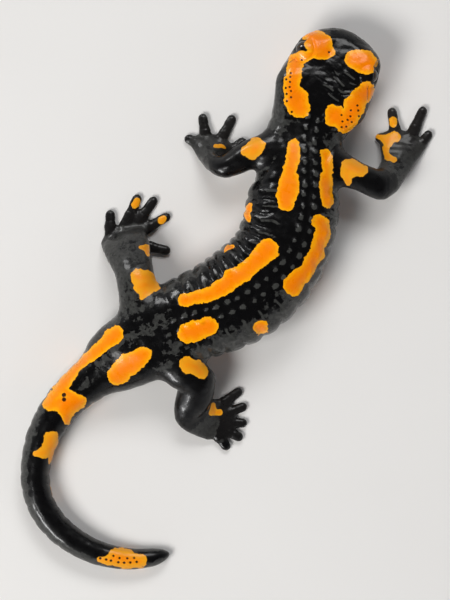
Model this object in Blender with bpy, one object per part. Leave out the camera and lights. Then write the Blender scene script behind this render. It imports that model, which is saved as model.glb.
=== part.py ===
"""A fire salamander at life size, mid-stride on the floor, its tail laid round in a hook.

Seen from above, the head points to +Y and the tail hooks round on the -Y side. The body is one
flowing form along a spine that lies level: each station of STATIONS gives how far it is from the
snout, which way the spine runs there, and how wide, high and low the body is. Thin cuts part that
form into head, neck, chest, belly, hips and four lengths of tail. A leg is a tapering tube along
its joints, cut off where it meets the body, and its toes grow from a flat palm or sole.

Lengths are in millimetres and angles in degrees, and the meshes are made in metres.
"""

from math import cos, pi, radians, sin, sqrt

import bmesh
import bpy
import numpy as np
from mathutils import Vector

MM = 0.001
JOINT_GAP = 0.3  # the air between two pieces that meet
FLOOR = 0.0

# Where the snout's tip is, so that the whole animal's box is centred on the origin.
SNOUT = (31.32, 69.78)

# name, distance from the snout, heading of the spine, half width, back and belly above the
# floor, squareness of the section (2 is an ellipse)
STATIONS = (
    ("snout tip", 0.0, -109.9, 8.6, 11.0, 5.1, 2.2),
    ("nostrils", 4.0, -107.2, 10.6, 12.0, 4.7, 2.3),
    ("eyes", 10.5, -113.2, 11.7, 13.4, 3.9, 2.4),
    ("jaw angle", 18.0, -116.4, 12.4, 14.4, 3.0, 2.4),
    ("gular fold", 25.5, -111.7, 10.3, 14.4, 2.6, 2.3),
    ("neck", 29.5, -106.6, 9.8, 14.9, 2.6, 2.2),
    ("shoulders", 38.0, -97.7, 9.7, 16.8, 2.2, 2.2),
    ("chest", 48.0, -98.2, 12.2, 18.2, 2.0, 2.2),
    ("ribs", 58.0, -112.4, 12.2, 19.3, 1.8, 2.2),
    ("belly", 74.0, -143.9, 12.8, 19.8, 1.7, 2.2),
    ("flank end", 87.0, -157.9, 11.7, 18.8, 1.9, 2.2),
    ("hips", 98.0, -150.7, 10.6, 17.2, 2.2, 2.2),
    ("vent", 108.0, -150.6, 9.6, 15.3, 1.9, 2.2),
    ("tail root", 114.0, -142.9, 8.4, 13.4, 0.9, 2.1),
    ("tail waist", 120.0, -142.6, 5.9, 11.8, 0.1, 2.0),
    ("tail bend", 135.0, -122.2, 4.7, 9.6, -0.3, 2.0),
    ("tail side", 150.0, -91.4, 3.8, 8.0, -0.3, 2.0),
    ("tail turn", 165.0, -47.4, 3.6, 7.2, -0.3, 2.0),
    ("tail end", 180.0, -16.3, 3.1, 6.0, -0.3, 2.0),
    ("tail tip", 197.4, 18.6, 2.1, 4.2, -0.2, 2.0),
)
WIDEST_AT = 0.46  # how far up the section it is widest
SNOUT_ROUNDING = 7.0  # the length over which the snout rounds in to its tip, seen from above
SNOUT_DEEP_ROUNDING = 3.8  # and seen from the side
SNOUT_HEIGHT = 8.2
TAIL_ROUNDING = 5.5
TAIL_TIP_HEIGHT = 1.6

# Node name, where it begins and ends along the spine, spacing of its rings, points in a ring
BODY_NODES = (
    ("neck", 26.5, 32.0, 2.8, 24),
    ("chest", 32.0, 52.0, 2.9, 24),
    ("belly", 52.0, 89.0, 3.1, 24),
    ("hips", 89.0, 112.0, 2.6, 24),
    ("tail_base", 112.0, 134.0, 2.7, 20),
    ("tail_middle", 134.0, 156.0, 2.8, 16),
    ("tail_end", 156.0, 178.0, 2.8, 16),
    ("tail_tip", 178.0, 197.4, 2.0, 14),
)
HEAD_END = 26.5
HEAD_POINTS = 30
HEAD_RINGS = (
    0.05, 0.4, 1.1, 2.2, 3.6, 5.2, 7.0, 8.8, 10.6, 12.6, 14.8, 17.0, 19.2, 21.4, 23.8,
    HEAD_END - JOINT_GAP / 2,
)  # how far from the snout each ring of the head is

# The lips' line seen from the side: distance from the snout, height
MOUTH = ((-2.0, 7.4), (1.5, 7.5), (6.0, 7.1), (11.0, 6.9), (15.5, 7.6), (17.5, 8.3))

EYE_AT, EYE_OUT, EYE_HEIGHT, EYE_RADIUS = 8.8, 8.8, 10.6, 2.4

# The brow over each eye and the poison gland behind it: middle along the spine, half length,
# middle and half spread in degrees above the side, and how far it stands out
SWELLINGS = (
    ("brow", 6.8, 4.6, 46, 34, 1.7),
    ("gland", 19.5, 7.0, 40, 30, 1.3),
)

# A leg's joints from the body out: x, y, height, half width, half thickness. The first is
# inside the body; the last is the middle of the palm or sole.
LEGS = {
    "left_fore": {
        "joints": (
            (12.9, 39.1, 9.6, 4.9, 4.4),
            (6.1, 37.6, 9.8, 3.9, 3.6),
            (-0.7, 34.5, 8.4, 2.9, 3.2),
            (-4.6, 36.7, 3.9, 2.3, 2.4),
            (-4.1, 40.4, 1.4, 5.2, 1.5),
        ),
        "toes": (
            ((-0.1, 38.0), (5.0, 41.7)),
            ((-2.0, 40.8), (1.8, 48.0)),
            ((-5.3, 41.7), (-6.5, 48.4)),
            ((-7.0, 40.2), (-10.9, 42.4)),
        ),
    },
    "right_fore": {
        "joints": (
            (27.0, 34.9, 9.6, 5.0, 4.4),
            (34.5, 31.8, 9.8, 3.6, 3.6),
            (40.1, 30.0, 8.4, 4.1, 3.2),
            (43.8, 34.4, 3.9, 3.9, 2.4),
            (45.5, 40.6, 1.4, 6.0, 1.5),
        ),
        "toes": (
            ((43.2, 39.4), (39.0, 42.9)),
            ((44.3, 41.7), (42.9, 50.0)),
            ((47.5, 41.2), (51.6, 50.2)),
            ((49.3, 38.7), (53.3, 43.8)),
        ),
    },
    "left_hind": {
        "joints": (
            (-18.1, -7.8, 9.0, 6.0, 5.2),
            (-22.1, -3.1, 10.2, 5.3, 4.7),
            (-23.9, 6.5, 9.6, 5.0, 4.0),
            (-26.0, 13.3, 5.0, 6.0, 3.0),
            (-27.4, 16.4, 1.5, 5.8, 1.6),
        ),
        "toes": (
            ((-22.9, 14.3), (-14.7, 12.5)),
            ((-22.9, 17.4), (-14.8, 22.0)),
            ((-24.7, 18.1), (-18.5, 26.6)),
            ((-26.7, 18.7), (-22.9, 27.3)),
            ((-30.3, 17.2), (-30.5, 23.3)),
        ),
    },
    "right_hind": {
        "joints": (
            (-14.5, -10.2, 9.0, 5.9, 5.2),
            (-11.7, -18.1, 10.2, 5.2, 4.7),
            (-7.7, -21.9, 9.6, 5.0, 4.0),
            (-9.3, -29.4, 5.0, 4.5, 3.0),
            (-4.1, -31.3, 1.5, 5.4, 1.6),
        ),
        "toes": (
            ((-3.5, -29.0), (3.9, -23.5)),
            ((-2.1, -30.5), (5.2, -27.7)),
            ((-1.1, -32.0), (5.3, -32.3)),
            ((-1.7, -33.4), (4.1, -36.4)),
            ((-3.0, -34.6), (0.5, -39.2)),
        ),
    },
}
LEG_POINTS = 12
LEG_RING_STEP = 2.0
BEND_REACH = 4.5  # a leg's rings turn with the way it runs over this far on both sides
WRIST_CUT = 0.15  # how far from the wrist to the palm's middle the hand or foot begins
ROUND_TO = 0.91 * pi / 2  # the round ends stop a little short of a point
TOE_POINTS = 8
TOE_BASE, TOE_TIP = 1.7, 1.25  # half widths of a toe
TOE_LIFT = 0.7  # the height of the toes' middle lines,
TOE_LIFT_STEP = 0.03  # and each one's above its neighbour's, so that no two share a plane


def through(xs, ys, x):
    """The smooth curve through given values that never overshoots them, at x."""
    xs, ys = np.asarray(xs, float), np.asarray(ys, float)
    span = np.diff(xs)
    slope = np.diff(ys) / span
    tangent = np.zeros_like(ys)
    tangent[0], tangent[-1] = slope[0], slope[-1]
    steady = slope[:-1] * slope[1:] > 0
    both = np.where(steady, slope[:-1] + slope[1:], 1.0)
    tangent[1:-1] = np.where(steady, 2 * slope[:-1] * slope[1:] / both, 0.0)
    i = np.clip(np.searchsorted(xs, x, side="right") - 1, 0, len(span) - 1)
    t = (x - xs[i]) / span[i]
    low = ys[i] * (1 + 2 * t) + tangent[i] * span[i] * t
    high = ys[i + 1] * (3 - 2 * t) - tangent[i + 1] * span[i] * (1 - t)
    return low * (1 - t) ** 2 + high * t**2


def column(index):
    return [station[index] for station in STATIONS]


def laid_spine():
    """The spine's points a tenth of a millimetre apart, from walking along its headings."""
    step = 0.1
    distances = np.arange(0.0, STATIONS[-1][1] + step / 2, step)
    headings = np.radians(through(column(1), column(2), distances))
    moves = step * np.stack([np.cos(headings), np.sin(headings)], axis=1)
    points = np.array(SNOUT) + np.concatenate([[[0.0, 0.0]], np.cumsum(moves, axis=0)[:-1]])
    return distances, headings, points


DISTANCES, HEADINGS, SPINE = laid_spine()


def body_point(s, out, height):
    """The place at s along the spine, out to the animal's left of it, at a height."""
    heading = np.interp(s, DISTANCES, HEADINGS)
    x = np.interp(s, DISTANCES, SPINE[:, 0]) + min(s, 0.0) * cos(heading)
    y = np.interp(s, DISTANCES, SPINE[:, 1]) + min(s, 0.0) * sin(heading)
    return Vector((x + out * sin(heading), y - out * cos(heading), height))


def end_rounding(s, snout_rounding):
    """How much of its full section the body has at s: all of it but for the two ends."""
    near = min(s / snout_rounding, (DISTANCES[-1] - s) / TAIL_ROUNDING, 1.0)
    return sqrt(max(1.0 - (1.0 - near) ** 2, 0.0))


def superellipse(angle, square):
    """A point of a rounded square's outline, one unit out: a circle where square is 2."""
    power = 2.0 / square
    c, s = cos(angle), sin(angle)
    return abs(c) ** power * (1 if c >= 0 else -1), abs(s) ** power * (1 if s >= 0 else -1)


def swelling(s, angle):
    """How far a brow or a gland stands out at this place on the head."""
    from_top = abs((angle - pi / 2 + pi) % (2 * pi) - pi) * 180 / pi
    total = 0.0
    for _, middle, half, above, spread, rise in SWELLINGS:
        across = (90 - from_top - above) / spread
        along = (s - middle) / half
        total += rise * max(1.0 - across**2, 0.0) * max(1.0 - along**2, 0.0)
    return total


def body_ring(s, points, grow=0.0):
    """The section of the body at s as points round it, grown outwards by some millimetres."""
    half, back, belly, square = (
        float(through(column(1), column(i), s)) for i in (3, 4, 5, 6)
    )
    widest = belly + WIDEST_AT * (back - belly)
    wide = end_rounding(s, SNOUT_ROUNDING)
    deep = end_rounding(s, SNOUT_DEEP_ROUNDING)
    tip = SNOUT_HEIGHT if s < SNOUT_ROUNDING else TAIL_TIP_HEIGHT
    ring = []
    for k in range(points):
        angle = 2 * pi * k / points
        c, t = superellipse(angle, square)
        swell = grow + swelling(s, angle)
        out = c * (half * wide + swell)
        reach = (back - widest) if t >= 0 else (widest - belly)
        level = tip + (widest - tip) * deep
        height = level + t * (reach * deep + swell)
        ring.append(body_point(s, out, max(height, FLOOR)))
    return ring


def closed_loft(name, rings, colour, roughness=0.35):
    """An object skinned over rings of points, with its two ends closed."""
    mesh = bmesh.new()
    loops = [[mesh.verts.new(point * MM) for point in ring] for ring in rings]
    count = len(loops[0])
    for one, two in zip(loops, loops[1:]):
        for k in range(count):
            after = (k + 1) % count
            mesh.faces.new((one[k], one[after], two[after], two[k]))
    mesh.faces.new(loops[0][::-1])
    mesh.faces.new(loops[-1])
    bmesh.ops.recalc_face_normals(mesh, faces=mesh.faces)
    return placed(name, mesh, colour, roughness)


def placed(name, mesh, colour, roughness):
    """The bmesh as an object in the scene, shaded smooth but for its cut faces."""
    data = bpy.data.meshes.new(name)
    mesh.to_mesh(data)
    mesh.free()
    data.shade_smooth()
    data.set_sharp_from_angle(angle=radians(50))
    data.materials.append(skin_material(colour, roughness))
    piece = bpy.data.objects.new(name, data)
    bpy.context.scene.collection.objects.link(piece)
    return piece


def skin_material(colour, roughness):
    """One material for each colour and gloss, shared by the pieces that have them."""
    name = "skin_" + "_".join(f"{round(255 * c)}" for c in colour)
    material = bpy.data.materials.get(name)
    if material is None:
        material = bpy.data.materials.new(name)
        material.use_nodes = True
        shader = material.node_tree.nodes["Principled BSDF"]
        shader.inputs["Base Color"].default_value = (*colour, 1.0)
        shader.inputs["Roughness"].default_value = roughness
        shader.inputs["Metallic"].default_value = 0.0
    return material


BLACK = (0.012, 0.012, 0.013)
EYE_BLACK = (0.02, 0.014, 0.01)


def helper(piece):
    """Marks a cutter or a piece to be joined, which isn't part of the model itself."""
    piece.hide_render = True
    piece.display_type = "WIRE"
    return piece


def combine(piece, other, operation):
    """Joins, cuts or trims piece with a helper."""
    boolean = piece.modifiers.new(f"{operation.lower()}_{other.name}", "BOOLEAN")
    boolean.operation = operation
    boolean.solver = "EXACT"
    boolean.object = other


def body_length(name, start, end, spacing, points, grow=0.0):
    """One length of the body, with half a joint's gap taken off each end."""
    first = start + JOINT_GAP / 2
    last = end - JOINT_GAP / 2
    steps = max(round((last - first) / spacing), 1)
    places = [first + (last - first) * k / steps for k in range(steps + 1)]
    if end >= DISTANCES[-1]:
        taper = [DISTANCES[-1] - TAIL_ROUNDING * (1 - k / 5) ** 2 for k in range(5)]
        places = [s for s in places if s < taper[0] - spacing / 2] + taper + [end - 0.04]
    return closed_loft(name, [body_ring(s, points, grow) for s in places], BLACK)


def jaw_block(name, inset):
    """A block below the line of the lips, as wide as the head, to part the lower jaw with."""
    line = [(s, height - inset) for s, height in MOUTH]
    back = line[-1][0] - inset
    line[-1] = (back, line[-1][1])
    below = [(s, -4.0) for s, _ in reversed(line)]
    side = line + below
    rings = []
    for out in (-16.0, 16.0):
        rings.append([body_point(s, out, height) for s, height in side])
    return helper(closed_loft(name, rings, BLACK))


def ball(name, centre, radius, segments, rings, colour, roughness):
    """A sphere, with its poles on the line across the head."""
    mesh = bmesh.new()
    bmesh.ops.create_uvsphere(
        mesh, u_segments=segments, v_segments=rings, radius=radius * MM
    )
    turn = Vector((0, 0, 1)).rotation_difference(centre - body_point(EYE_AT, 0, centre.z))
    bmesh.ops.rotate(mesh, cent=(0, 0, 0), matrix=turn.to_matrix(), verts=mesh.verts)
    bmesh.ops.translate(mesh, vec=centre * MM, verts=mesh.verts)
    return placed(name, mesh, colour, roughness)


def make_head():
    """The head with its eyes' sockets, the lower jaw parted from it by the line of the lips."""
    rings = [body_ring(s, HEAD_POINTS) for s in HEAD_RINGS]
    head = closed_loft("head", rings, BLACK)
    jaw = closed_loft("lower_jaw", rings, BLACK)
    combine(head, jaw_block("jaw_room", 0.0), "DIFFERENCE")
    combine(jaw, jaw_block("jaw_trim", JOINT_GAP), "INTERSECT")
    for side, out in (("left", EYE_OUT), ("right", -EYE_OUT)):
        centre = body_point(EYE_AT, out, EYE_HEIGHT)
        ball(f"eye_{side}", centre, EYE_RADIUS, 16, 9, EYE_BLACK, 0.08)
        room = EYE_RADIUS + JOINT_GAP
        socket = helper(ball(f"socket_{side}", centre, room, 16, 9, BLACK, 0.3))
        combine(head, socket, "DIFFERENCE")


def make_body():
    for name, start, end, spacing, points in BODY_NODES:
        body_length(name, start, end, spacing, points)


def curve_through(places, step):
    """Points about a step apart on the smooth curve through places, as rows of numbers."""
    rows = np.array(places, float)
    ends = [2 * rows[0] - rows[1], *rows, 2 * rows[-1] - rows[-2]]
    found = []
    for a, b, c, d in zip(ends, ends[1:], ends[2:], ends[3:]):
        count = max(round(np.linalg.norm((c - b)[:3]) / step), 1)
        for k in range(count):
            t = k / count
            bend = (2 * a - 5 * b + 4 * c - d) * t * t + (3 * b - a - 3 * c + d) * t**3
            found.append((2 * b + (c - a) * t + bend) / 2)
    return np.array([*found, rows[-1]])


def distances_along(rows):
    strides = np.linalg.norm(np.diff(rows[:, :3], axis=0), axis=1)
    return np.concatenate([[0.0], np.cumsum(strides)])


def row_at(rows, along, distance):
    return np.array([np.interp(distance, along, rows[:, i]) for i in range(rows.shape[1])])


def direction_at(rows, along, distance, reach):
    """The way the line runs there, from a reach behind to a reach ahead, so bends stay open."""
    ahead = row_at(rows, along, distance + reach)[:3]
    behind = row_at(rows, along, distance - reach)[:3]
    return (ahead - behind) / np.linalg.norm(ahead - behind)


def tube_rings(rows, tangents, points):
    """Rings across a line. Each row of it is x, y, height, half width and half thickness."""
    rings = []
    for (x, y, z, wide, thick), tangent in zip(rows, tangents):
        side = Vector(tangent).cross(Vector((0, 0, 1))).normalized()
        up = side.cross(Vector(tangent))
        turns = [2 * pi * k / points for k in range(points)]
        ring = [side * (wide * cos(a)) + up * (thick * sin(a)) for a in turns]
        rings.append([Vector((x, y, z)) + offset for offset in ring])
    return rings


def rounded_end(rows, reach, steps):
    """The rows with a round end added, reaching a little beyond the last row."""
    direction = (rows[-1] - rows[-2])[:3] * (1, 1, 0)
    direction /= np.linalg.norm(direction)
    end = []
    for k in range(1, steps + 1):
        turn = ROUND_TO * k / steps
        row = rows[-1].copy()
        row[:3] += direction * reach * sin(turn)
        row[3:] *= cos(turn)
        end.append(row)
    return np.vstack([rows, end])


def toe(name, base, tip, lift):
    """One toe, from inside the palm to its round tip."""
    inner, outer = Vector(base), Vector(tip)
    back = inner - (outer - inner).normalized() * 1.2
    reach = TOE_TIP * 1.15
    end = outer - (outer - inner).normalized() * reach
    middle = (back + end) / 2
    rows = [
        (back.x, back.y, lift + 0.3, TOE_BASE, 1.1),
        (middle.x, middle.y, lift + 0.25, (TOE_BASE + TOE_TIP) / 2, 1.0),
        (end.x, end.y, lift, TOE_TIP, 0.9),
    ]
    line = rounded_end(curve_through(rows, 3.0), reach, 3)
    along = distances_along(line)
    directions = [direction_at(line, along, s, 1.0) for s in along]
    return helper(closed_loft(name, tube_rings(line, directions, TOE_POINTS), BLACK))


def floor_block():
    """What lies below the floor, to cut the soles flat with."""
    mesh = bmesh.new()
    bmesh.ops.create_cube(mesh, size=1.0)
    bmesh.ops.scale(mesh, vec=(0.2, 0.2, 0.01), verts=mesh.verts)
    bmesh.ops.translate(mesh, vec=(0, 0, FLOOR * MM - 0.005), verts=mesh.verts)
    return helper(placed("below_floor", mesh, BLACK, 0.5))


def leg_names(leg):
    """The names of a leg's three lengths, from the body out."""
    side, place = leg.split("_")
    words = ("upper_arm", "forearm", "hand") if place == "fore" else ("thigh", "shank", "foot")
    return [f"{word}_{side}" for word in words]


def make_leg(leg, body_room, below_floor):
    """The upper and lower leg and the hand or foot, parted square to the line of its joints."""
    joints = LEGS[leg]["joints"]
    to_palm = curve_through(joints, 0.1)
    round_reach = joints[-1][3] * 0.6
    rows = rounded_end(to_palm, round_reach, 12)
    along = distances_along(rows)

    def nearest(joint):
        return along[np.argmin(np.linalg.norm(rows[:, :3] - np.array(joint[:3]), axis=1))]

    bend, wrist, palm = nearest(joints[2]), nearest(joints[3]), along[len(to_palm) - 1]
    cuts = [0.0, bend, wrist + WRIST_CUT * (palm - wrist), palm]
    made = []
    for name, start, end in zip(leg_names(leg), cuts, cuts[1:]):
        steps = max(round((end - start) / LEG_RING_STEP), 2)
        places = [start + (end - start) * k / steps for k in range(steps + 1)]
        if end == palm:
            places += [palm + round_reach * sin(ROUND_TO * k / 3) for k in (1, 2, 3)]
        line = np.array([row_at(rows, along, s) for s in places])
        directions = [direction_at(rows, along, s, BEND_REACH) for s in places]
        line[0, :3] += directions[0] * JOINT_GAP / 2
        if end != palm:
            line[-1, :3] -= directions[-1] * JOINT_GAP / 2
        made.append(closed_loft(name, tube_rings(line, directions, LEG_POINTS), BLACK))
    combine(made[0], body_room, "DIFFERENCE")
    for number, (base, tip) in enumerate(LEGS[leg]["toes"], start=1):
        lift = TOE_LIFT + TOE_LIFT_STEP * number
        combine(made[2], toe(f"toe_{leg}_{number}", base, tip, lift), "UNION")
    combine(made[2], below_floor, "DIFFERENCE")


def clear_scene():
    for piece in list(bpy.data.objects):
        bpy.data.objects.remove(piece)


def main():
    clear_scene()
    make_head()
    make_body()
    front_room = helper(body_length("front_room", 20.0, 62.0, 2.9, 24, JOINT_GAP))
    rear_room = helper(body_length("rear_room", 80.0, 120.0, 2.6, 24, JOINT_GAP))
    below_floor = floor_block()
    for leg in LEGS:
        make_leg(leg, front_room if leg.endswith("fore") else rear_room, below_floor)


main()
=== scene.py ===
"""The looks of the fire salamander: one moist skin over all its flesh, and its two eyes.

The skin is the zero level of a distance field made from the same stations, joints and toes as
the solids, so it lies on them, with smooth roots to the legs, lids round the eyes and webs
between the toes. Grooves, glands, folds and pores are then pushed into it along its normals.
The orange markings are strokes laid on the surface, each a chain of places with a radius.

Lengths are in millimetres and angles in degrees until a mesh is made.

Some tables are not a design made by hand. Other scripts fitted them to the outline and the
markings of a drawing: SNOUT, the headings and half widths in STATIONS, the joints' x, y and
half widths and most toes in LEGS, and about half of BACK_MARKS and LEG_MARKS. The rest of
those marks, PORE_ROWS, MIDLINE, SHEEN_PATCHES, and where the folds, the glands' rows and the
head's creases lie, were read from it by eye, and another script turned them into places on
the model.
"""

from math import cos, pi, radians, sin

import bmesh
import bpy
import numpy as np
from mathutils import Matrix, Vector
from mathutils.bvhtree import BVHTree


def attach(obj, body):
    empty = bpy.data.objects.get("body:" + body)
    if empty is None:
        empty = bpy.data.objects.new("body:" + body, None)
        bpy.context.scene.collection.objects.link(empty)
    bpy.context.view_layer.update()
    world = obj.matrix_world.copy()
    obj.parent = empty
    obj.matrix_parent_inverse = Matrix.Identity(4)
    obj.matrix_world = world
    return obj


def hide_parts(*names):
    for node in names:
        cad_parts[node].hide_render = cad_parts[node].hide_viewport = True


MM = 0.001
FAR = 9.0  # stands for any distance too long to matter
CHUNK = 20000  # points looked up at a time

# ---- The animal's form, as the solids have it
SNOUT = (31.32, 69.78)

# name, distance from the snout, heading of the spine, half width, back and belly above the
# floor, squareness of the section (2 is an ellipse); the headings and half widths were fitted
STATIONS = (
    ("snout tip", 0.0, -109.9, 8.6, 11.0, 5.1, 2.2),
    ("nostrils", 4.0, -107.2, 10.6, 12.0, 4.7, 2.3),
    ("eyes", 10.5, -113.2, 11.7, 13.4, 3.9, 2.4),
    ("jaw angle", 18.0, -116.4, 12.4, 14.4, 3.0, 2.4),
    ("gular fold", 25.5, -111.7, 10.3, 14.4, 2.6, 2.3),
    ("neck", 29.5, -106.6, 9.8, 14.9, 2.6, 2.2),
    ("shoulders", 38.0, -97.7, 9.7, 16.8, 2.2, 2.2),
    ("chest", 48.0, -98.2, 12.2, 18.2, 2.0, 2.2),
    ("ribs", 58.0, -112.4, 12.2, 19.3, 1.8, 2.2),
    ("belly", 74.0, -143.9, 12.8, 19.8, 1.7, 2.2),
    ("flank end", 87.0, -157.9, 11.7, 18.8, 1.9, 2.2),
    ("hips", 98.0, -150.7, 10.6, 17.2, 2.2, 2.2),
    ("vent", 108.0, -150.6, 9.6, 15.3, 1.9, 2.2),
    ("tail root", 114.0, -142.9, 8.4, 13.4, 0.9, 2.1),
    ("tail waist", 120.0, -142.6, 5.9, 11.8, 0.1, 2.0),
    ("tail bend", 135.0, -122.2, 4.7, 9.6, -0.3, 2.0),
    ("tail side", 150.0, -91.4, 3.8, 8.0, -0.3, 2.0),
    ("tail turn", 165.0, -47.4, 3.6, 7.2, -0.3, 2.0),
    ("tail end", 180.0, -16.3, 3.1, 6.0, -0.3, 2.0),
    ("tail tip", 197.4, 18.6, 2.1, 4.2, -0.2, 2.0),
)
WIDEST_AT = 0.46  # how far up the section it is widest
SNOUT_ROUNDING = 7.0  # the length over which the snout rounds in to its tip, seen from above
SNOUT_DEEP_ROUNDING = 3.8  # and seen from the side
SNOUT_HEIGHT = 8.2
TAIL_ROUNDING = 5.5
TAIL_TIP_HEIGHT = 1.6

# Brow and poison gland: middle along the spine, half length, middle and half spread in degrees
# above the side, how far it stands out
SWELLINGS = (
    ("brow", 6.8, 4.6, 46, 34, 1.7),
    ("gland", 19.5, 7.0, 40, 30, 1.3),
)

EYE_AT, EYE_OUT, EYE_HEIGHT, EYE_RADIUS = 8.8, 8.8, 10.6, 2.4

# The lips' line seen from the side: distance from the snout, height
MOUTH = ((-2.0, 7.4), (1.5, 7.5), (6.0, 7.1), (11.0, 6.9), (15.5, 7.6), (17.5, 8.3))

# A leg's joints from the body out: x, y, height, half width, half thickness; and each toe's
# base and tip. All but the heights and thicknesses were fitted, and then four tips of the right
# hind toes were moved. The left hind foot's third toe and the right's second and
# fourth were placed between the fitted ones.
LEGS = {
    "left_fore": {
        "joints": (
            (12.9, 39.1, 9.6, 4.9, 4.4),
            (6.1, 37.6, 9.8, 3.9, 3.6),
            (-0.7, 34.5, 8.4, 2.9, 3.2),
            (-4.6, 36.7, 3.9, 2.3, 2.4),
            (-4.1, 40.4, 1.4, 5.2, 1.5),
        ),
        "toes": (
            ((-0.1, 38.0), (5.0, 41.7)),
            ((-2.0, 40.8), (1.8, 48.0)),
            ((-5.3, 41.7), (-6.5, 48.4)),
            ((-7.0, 40.2), (-10.9, 42.4)),
        ),
    },
    "right_fore": {
        "joints": (
            (27.0, 34.9, 9.6, 5.0, 4.4),
            (34.5, 31.8, 9.8, 3.6, 3.6),
            (40.1, 30.0, 8.4, 4.1, 3.2),
            (43.8, 34.4, 3.9, 3.9, 2.4),
            (45.5, 40.6, 1.4, 6.0, 1.5),
        ),
        "toes": (
            ((43.2, 39.4), (39.0, 42.9)),
            ((44.3, 41.7), (42.9, 50.0)),
            ((47.5, 41.2), (51.6, 50.2)),
            ((49.3, 38.7), (53.3, 43.8)),
        ),
    },
    "left_hind": {
        "joints": (
            (-18.1, -7.8, 9.0, 6.0, 5.2),
            (-22.1, -3.1, 10.2, 5.3, 4.7),
            (-23.9, 6.5, 9.6, 5.0, 4.0),
            (-26.0, 13.3, 5.0, 6.0, 3.0),
            (-27.4, 16.4, 1.5, 5.8, 1.6),
        ),
        "toes": (
            ((-22.9, 14.3), (-14.7, 12.5)),
            ((-22.9, 17.4), (-14.8, 22.0)),
            ((-24.7, 18.1), (-18.5, 26.6)),
            ((-26.7, 18.7), (-22.9, 27.3)),
            ((-30.3, 17.2), (-30.5, 23.3)),
        ),
    },
    "right_hind": {
        "joints": (
            (-14.5, -10.2, 9.0, 5.9, 5.2),
            (-11.7, -18.1, 10.2, 5.2, 4.7),
            (-7.7, -21.9, 9.6, 5.0, 4.0),
            (-9.3, -29.4, 5.0, 4.5, 3.0),
            (-4.1, -31.3, 1.5, 5.4, 1.6),
        ),
        "toes": (
            ((-3.5, -29.0), (3.9, -23.5)),
            ((-2.1, -30.5), (5.2, -27.7)),
            ((-1.1, -32.0), (5.3, -32.3)),
            ((-1.7, -33.4), (4.1, -36.4)),
            ((-3.0, -34.6), (0.5, -39.2)),
        ),
    },
}
TOE_BASE, TOE_TIP = 1.7, 1.25  # half widths of a toe
TOE_LIFT, TOE_LIFT_STEP = 0.7, 0.03
BEND_REACH = 4.5  # how far either way along a leg its direction is taken
TOE_SUNK = 1.2  # how far a toe begins inside the palm
PALM_ROUNDING = 0.6  # the palm's rounded end, as a share of its half width

# How softly one form runs into another
LEG_ROOT, TOE_WEB, TOE_ROOT, SOLE_EDGE = 3.0, 1.2, 1.0, 0.35


def through(xs, ys, x):
    """The smooth curve through given values that never overshoots them, at x."""
    xs, ys = np.asarray(xs, float), np.asarray(ys, float)
    span = np.diff(xs)
    slope = np.diff(ys) / span
    tangent = np.zeros_like(ys)
    tangent[0], tangent[-1] = slope[0], slope[-1]
    steady = slope[:-1] * slope[1:] > 0
    both = np.where(steady, slope[:-1] + slope[1:], 1.0)
    tangent[1:-1] = np.where(steady, 2 * slope[:-1] * slope[1:] / both, 0.0)
    i = np.clip(np.searchsorted(xs, x, side="right") - 1, 0, len(span) - 1)
    t = (x - xs[i]) / span[i]
    low = ys[i] * (1 + 2 * t) + tangent[i] * span[i] * t
    high = ys[i + 1] * (3 - 2 * t) - tangent[i + 1] * span[i] * (1 - t)
    return low * (1 - t) ** 2 + high * t**2


def smooth_step(low, high, x):
    t = np.clip((x - low) / (high - low), 0.0, 1.0)
    return t * t * (3 - 2 * t)


def smooth_min(a, b, reach):
    near = np.maximum(reach - np.abs(a - b), 0.0) / reach
    return np.minimum(a, b) - near * near * reach / 4


def smooth_max(a, b, reach):
    return -smooth_min(-a, -b, reach)


def bump(x, width):
    return np.exp(-((x / width) ** 2))


def signed_power(x, power):
    return np.sign(x) * np.abs(x) ** power


def dot(a, b):
    return np.einsum("...i,...i->...", a, b)


def unit(v):
    return v / np.linalg.norm(v, axis=-1, keepdims=True)


# ---- The spine and the body's sections
def laid_spine():
    """The spine's points a tenth of a millimetre apart, from walking along its headings."""
    step = 0.1
    distances = np.arange(0.0, STATIONS[-1][1] + step / 2, step)
    at = [station[1] for station in STATIONS]
    headings = np.radians(through(at, [station[2] for station in STATIONS], distances))
    moves = step * np.stack([np.cos(headings), np.sin(headings)], axis=1)
    points = np.array(SNOUT) + np.concatenate([[[0.0, 0.0]], np.cumsum(moves, axis=0)[:-1]])
    shape = [through(at, [station[i] for station in STATIONS], distances) for i in (3, 4, 5, 6)]
    return distances, headings, points, shape


DISTANCES, HEADINGS, SPINE, SHAPE = laid_spine()
LENGTH = DISTANCES[-1]
BENDING = np.gradient(HEADINGS, DISTANCES)
MARKS = slice(0, None, 5)  # every half millimetre of the spine, to find the nearest place by


def on_spine(p):
    """For each point, how far along the spine it is and how far out to the animal's left."""
    marks, headings, bending = SPINE[MARKS], HEADINGS[MARKS], BENDING[MARKS]
    weight = (marks**2).sum(axis=1)
    along, out = np.empty(len(p)), np.empty(len(p))
    for start in range(0, len(p), CHUNK):
        chunk = slice(start, start + CHUNK)
        i = np.argmin(weight - 2 * p[chunk, :2] @ marks.T, axis=1)
        gap = p[chunk, :2] - marks[i]
        c, s = np.cos(headings[i]), np.sin(headings[i])
        ahead = gap[:, 0] * c + gap[:, 1] * s
        aside = gap[:, 1] * c - gap[:, 0] * s
        along[chunk] = DISTANCES[MARKS][i] + ahead / np.maximum(1 - bending[i] * aside, 0.35)
        out[chunk] = -aside
    return along, out


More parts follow.
